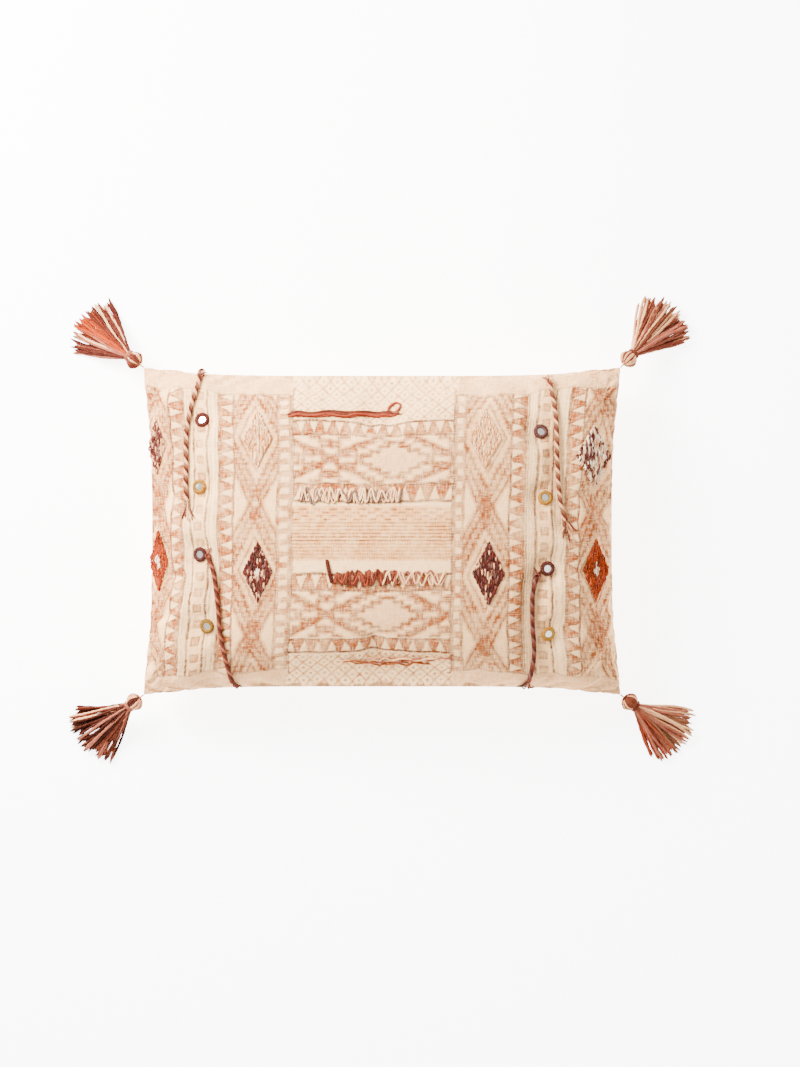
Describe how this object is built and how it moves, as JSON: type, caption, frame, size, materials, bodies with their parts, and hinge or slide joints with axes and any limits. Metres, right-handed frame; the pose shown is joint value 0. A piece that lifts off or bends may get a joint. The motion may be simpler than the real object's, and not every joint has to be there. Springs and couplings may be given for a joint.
{
  "type": "throw pillow",
  "caption": "Rectangular throw pillow with a woven patterned cover, stitched mirrors, yarn fringes, loose cords, corner tassels and a zip.",
  "frame": {"origin": "middle of the flat patch that the pillow rests on when it lies on its back", "axes": "+X along the pillow's width, +Y along its height towards its upper edge, +Z out of its patterned face"},
  "size_m": [0.6569, 0.4892, 0.127],
  "materials": {
    "cover_front": "woven and printed cotton, matt",
    "cover_back": "plain woven cotton, matt",
    "insert_cloth": "plain white cotton, matt",
    "insert_fill": "loose white fibre",
    "label": "white satin ribbon",
    "zip_tape": "woven beige tape",
    "zip_coil": "beige nylon coil",
    "zip_metal": "antique brass",
    "mirror": "silvered glass",
    "thread_burgundy": "twisted cotton thread",
    "thread_gold": "twisted cotton thread",
    "thread_plum": "twisted cotton thread",
    "thread_orange": "twisted cotton thread",
    "thread_coral": "loose cotton yarn",
    "thread_rust": "loose cotton yarn",
    "thread_cream": "loose cotton yarn",
    "cord_burgundy": "twisted cotton cord",
    "tassel_orange_burgundy": "loose cotton yarn",
    "tassel_pink_cream": "loose cotton yarn",
    "tassel_maroon": "loose cotton yarn",
    "tassel_tan": "loose cotton yarn"
  },
  "bodies": {
    "cushion": {"back_panel": "cover_back", "care_label": "label", "cord_left_lower": "cord_burgundy", "cord_left_upper": "cord_burgundy", "cord_right_lower": "cord_burgundy", "cord_right_upper": "thread_rust", "fringe_bottom": "thread_coral", "fringe_lower": "thread_rust", "fringe_top": "thread_coral", "fringe_upper": "thread_cream", "front_panel": "cover_front", "insert_casing_back": "insert_cloth", "insert_casing_front": "insert_cloth", "insert_fill": "insert_fill", "lozenge_left_lower": "thread_orange", "lozenge_left_upper": "thread_plum", "lozenge_middle_left": "thread_plum", "lozenge_middle_right": "thread_plum", "lozenge_right_lower": "thread_orange", "lozenge_right_upper": "thread_plum", "mirror_left_1": "mirror", "mirror_left_2": "mirror", "mirror_left_3": "mirror", "mirror_left_4": "mirror", "mirror_right_1": "mirror", "mirror_right_2": "mirror", "mirror_right_3": "mirror", "mirror_right_4": "mirror", "mirror_ring_left_1": "thread_burgundy", "mirror_ring_left_2": "thread_gold", "mirror_ring_left_3": "thread_plum", "mirror_ring_left_4": "thread_gold", "mirror_ring_right_1": "thread_plum", "mirror_ring_right_2": "thread_gold", "mirror_ring_right_3": "thread_burgundy", "mirror_ring_right_4": "thread_gold", "zip_row_back": "zip_coil", "zip_row_front": "zip_coil", "zip_stops": "zip_metal", "zip_tape_back": "zip_tape", "zip_tape_front": "zip_tape"},
    "zip_slider": {"zip_slider": "zip_metal"},
    "zip_pull": {"zip_pull": "zip_metal"},
    "loop_upper_left": {"tassel_loop_upper_left": "thread_cream"},
    "tassel_upper_left": {"tassel_head_upper_left": "tassel_orange_burgundy", "tassel_wrap_upper_left": "thread_burgundy", "tassel_skirt_upper_left": "tassel_orange_burgundy"},
    "loop_upper_right": {"tassel_loop_upper_right": "thread_cream"},
    "tassel_upper_right": {"tassel_head_upper_right": "tassel_pink_cream", "tassel_wrap_upper_right": "thread_burgundy", "tassel_skirt_upper_right": "tassel_pink_cream"},
    "loop_lower_left": {"tassel_loop_lower_left": "thread_cream"},
    "tassel_lower_left": {"tassel_head_lower_left": "tassel_maroon", "tassel_wrap_lower_left": "thread_burgundy", "tassel_skirt_lower_left": "tassel_maroon"},
    "loop_lower_right": {"tassel_loop_lower_right": "thread_cream"},
    "tassel_lower_right": {"tassel_head_lower_right": "tassel_tan", "tassel_wrap_lower_right": "thread_burgundy", "tassel_skirt_lower_right": "tassel_tan"}
  },
  "joints": [
    {"name": "zip_slide", "type": "slide", "parent": "cushion", "child": "zip_slider", "axis": [-1, 0, 0], "range_m": [0, 0.328]},
    {"name": "zip_pull_swing", "type": "hinge", "parent": "zip_slider", "child": "zip_pull", "pos_m": [0.1642, -0.15645, 0.054], "axis": [0, 0, 1], "range_deg": [0, 165]},
    {"name": "loop_upper_left_yaw", "type": "hinge", "parent": "cushion", "child": "loop_upper_left", "pos_m": [-0.2455, 0.1685, 0.04], "axis": [0, 0, 1], "range_deg": [-50, 50]},
    {"name": "tassel_upper_left_lift", "type": "hinge", "parent": "loop_upper_left", "child": "tassel_upper_left", "pos_m": [-0.24746, 0.17006, 0.039], "axis": [0.6225, 0.7826, 0], "range_deg": [0, 90]},
    {"name": "loop_upper_right_yaw", "type": "hinge", "parent": "cushion", "child": "loop_upper_right", "pos_m": [0.2455, 0.1685, 0.04], "axis": [0, 0, 1], "range_deg": [-50, 50]},
    {"name": "tassel_upper_right_lift", "type": "hinge", "parent": "loop_upper_right", "child": "tassel_upper_right", "pos_m": [0.24724, 0.1703, 0.039], "axis": [0.7193, -0.6947, 0], "range_deg": [0, 90]},
    {"name": "loop_lower_left_yaw", "type": "hinge", "parent": "cushion", "child": "loop_lower_left", "pos_m": [-0.2455, -0.1685, 0.04], "axis": [0, 0, 1], "range_deg": [-50, 50]},
    {"name": "tassel_lower_left_lift", "type": "hinge", "parent": "loop_lower_left", "child": "tassel_lower_left", "pos_m": [-0.24748, -0.17004, 0.039], "axis": [-0.6157, 0.788, 0], "range_deg": [0, 90]},
    {"name": "loop_lower_right_yaw", "type": "hinge", "parent": "cushion", "child": "loop_lower_right", "pos_m": [0.2455, -0.1685, 0.04], "axis": [0, 0, 1], "range_deg": [-50, 50]},
    {"name": "tassel_lower_right_lift", "type": "hinge", "parent": "loop_lower_right", "child": "tassel_lower_right", "pos_m": [0.24749, -0.17003, 0.039], "axis": [-0.6088, -0.7934, 0], "range_deg": [0, 90]}
  ]
}
